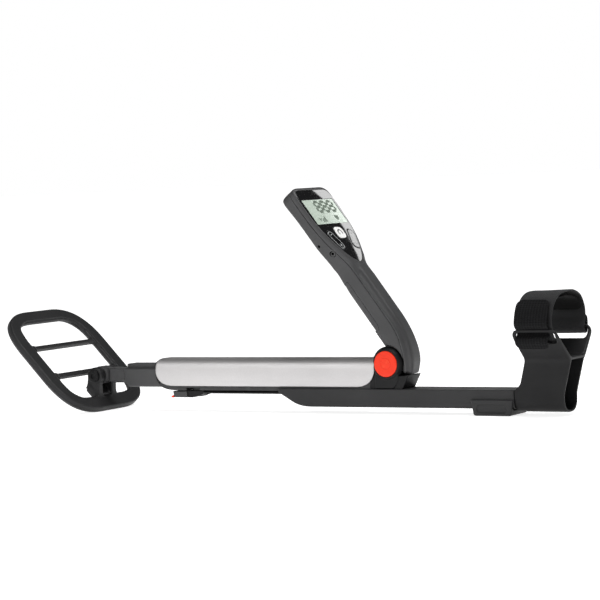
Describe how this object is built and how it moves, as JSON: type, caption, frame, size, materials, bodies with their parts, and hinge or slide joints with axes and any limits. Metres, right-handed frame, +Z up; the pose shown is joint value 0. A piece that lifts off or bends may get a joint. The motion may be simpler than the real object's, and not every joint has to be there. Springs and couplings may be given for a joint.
{
  "type": "metal detector",
  "caption": "Folding handheld metal detector with a windowed tilting search coil, a telescopic shaft, a folding handle carrying the display and keys, and a sliding forearm cuff with a strap.",
  "frame": {"origin": "middle of the bounding box's underside, on the ground the detector stands on", "axes": "+Z up, -X towards the search coil, +X towards the armrest, Y across; the release button is on the -Y side"},
  "size_m": [0.7652, 0.17, 0.2705],
  "materials": {
    "black_plastic": "fine grained moulded plastic",
    "shaft_plastic": "satin moulded plastic",
    "silver": "satin silver lacquer",
    "orange_plastic": "satin orange-red plastic",
    "gloss_black": "gloss black window and keys",
    "display": "grey-green liquid crystal display",
    "white_rubber": "white rubber key",
    "black_rubber": "black rubber",
    "steel": "plain steel",
    "display_module": "silvered display module",
    "copper": "enamelled copper wire",
    "cell": "plain wrapped battery cell",
    "board": "green circuit board",
    "webbing": "brushed black webbing"
  },
  "bodies": {
    "main_shaft": {"silver_cover": "silver", "shaft_chassis": "shaft_plastic", "front_collar": "black_plastic", "slide_rail": "black_plastic", "lever_mount": "shaft_plastic", "lever_pin": "steel", "hinge_housing": "black_plastic", "pivot_axle": "steel", "pivot_cap": "black_plastic", "button_spring": "steel"},
    "lower_shaft": {"lower_shaft_tube": "shaft_plastic", "shaft_knuckle": "black_plastic", "shaft_guide": "black_plastic"},
    "coil": {"coil_upper_shell": "black_plastic", "coil_lower_cover": "black_plastic", "coil_winding": "copper", "coil_hinge_bolt": "black_plastic", "coil_hinge_nut": "black_plastic", "hinge_washer_near": "black_rubber", "hinge_washer_far": "black_rubber"},
    "lever": {"cam_lever": "shaft_plastic", "cam_lever_tip": "orange_plastic"},
    "release": {"release_button": "orange_plastic", "lock_gear": "steel"},
    "handle": {"handle_front_shell": "black_plastic", "handle_rear_shell": "black_plastic", "face_panel": "gloss_black", "lcd_pane": "display", "circuit_board": "board", "lcd_module": "display_module", "speaker": "black_rubber", "headphone_socket": "black_plastic", "battery_1": "cell", "battery_2": "cell", "battery_3": "cell", "battery_4": "cell", "battery_contact_upper": "steel", "battery_contact_lower": "steel"},
    "door": {"battery_door": "black_plastic"},
    "centre_key": {"key_centre": "white_rubber"},
    "near_key": {"key_near": "gloss_black"},
    "far_key": {"key_far": "gloss_black"},
    "armrest": {"armrest_tray": "black_plastic", "arm_cuff": "black_plastic", "stand_foot": "black_plastic", "arm_strap": "webbing"}
  },
  "joints": [
    {"name": "shaft_extend", "type": "slide", "parent": "main_shaft", "child": "lower_shaft", "axis": [-1, 0, 0], "range_m": [0, 0.22]},
    {"name": "coil_tilt", "type": "hinge", "parent": "lower_shaft", "child": "coil", "pos_m": [-0.27775, 0, 0.04406], "axis": [0, 1, 0], "range_deg": [-46, 124]},
    {"name": "cam_lever_swing", "type": "hinge", "parent": "main_shaft", "child": "lever", "pos_m": [-0.13175, 0, 0.0223], "axis": [0, 1, 0], "range_deg": [-30, 0]},
    {"name": "release_press", "type": "slide", "parent": "main_shaft", "child": "release", "axis": [0, 1, 0], "range_m": [0, 0.0018], "stiffness_N_per_m": 800},
    {"name": "handle_fold", "type": "hinge", "parent": "main_shaft", "child": "handle", "pos_m": [0.14425, 0, 0.0595], "axis": [0, 1, 0], "range_deg": [-53, 0]},
    {"name": "battery_door_swing", "type": "hinge", "parent": "handle", "child": "door", "pos_m": [0.08768, 0, 0.15079], "axis": [0, 1, 0], "range_deg": [0, 35]},
    {"name": "centre_key_press", "type": "slide", "parent": "handle", "child": "centre_key", "axis": [-0.8018, 0, -0.5976], "range_m": [0, 0.001], "stiffness_N_per_m": 400},
    {"name": "near_key_press", "type": "slide", "parent": "handle", "child": "near_key", "axis": [-0.8018, 0, -0.5976], "range_m": [0, 0.001], "stiffness_N_per_m": 400},
    {"name": "far_key_press", "type": "slide", "parent": "handle", "child": "far_key", "axis": [-0.8018, 0, -0.5976], "range_m": [0, 0.001], "stiffness_N_per_m": 400},
    {"name": "armrest_slide", "type": "slide", "parent": "main_shaft", "child": "armrest", "axis": [-1, 0, 0], "range_m": [0, 0.108]}
  ]
}
